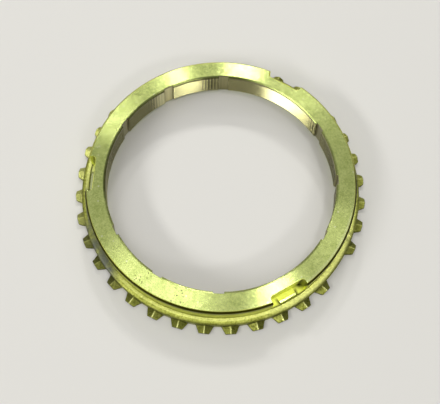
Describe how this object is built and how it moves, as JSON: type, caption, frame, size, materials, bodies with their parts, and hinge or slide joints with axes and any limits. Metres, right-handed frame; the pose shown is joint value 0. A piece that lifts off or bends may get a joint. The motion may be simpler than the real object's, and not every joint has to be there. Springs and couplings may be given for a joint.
{
  "type": "synchronizer ring",
  "caption": "One-piece brass blocker ring of a manual gearbox: conical friction bore with oil grooves, key slots in the hub-side face and pointed clutch teeth round a beaded flange.",
  "frame": {"origin": "on the ring's axis at the gear-side face, the bottom of its box", "axes": "+Z along the ring's axis from the gear side to the hub side; +X through an oil groove, 60 degrees from the nearest key slot; one key slot lies on -X"},
  "size_m": [0.0808, 0.0808, 0.0092],
  "materials": {
    "ring_brass": "faced hub side and threaded friction cone, as-forged flange and teeth"
  },
  "bodies": {
    "root": {"blocker_ring": "ring_brass"}
  },
  "joints": []
}
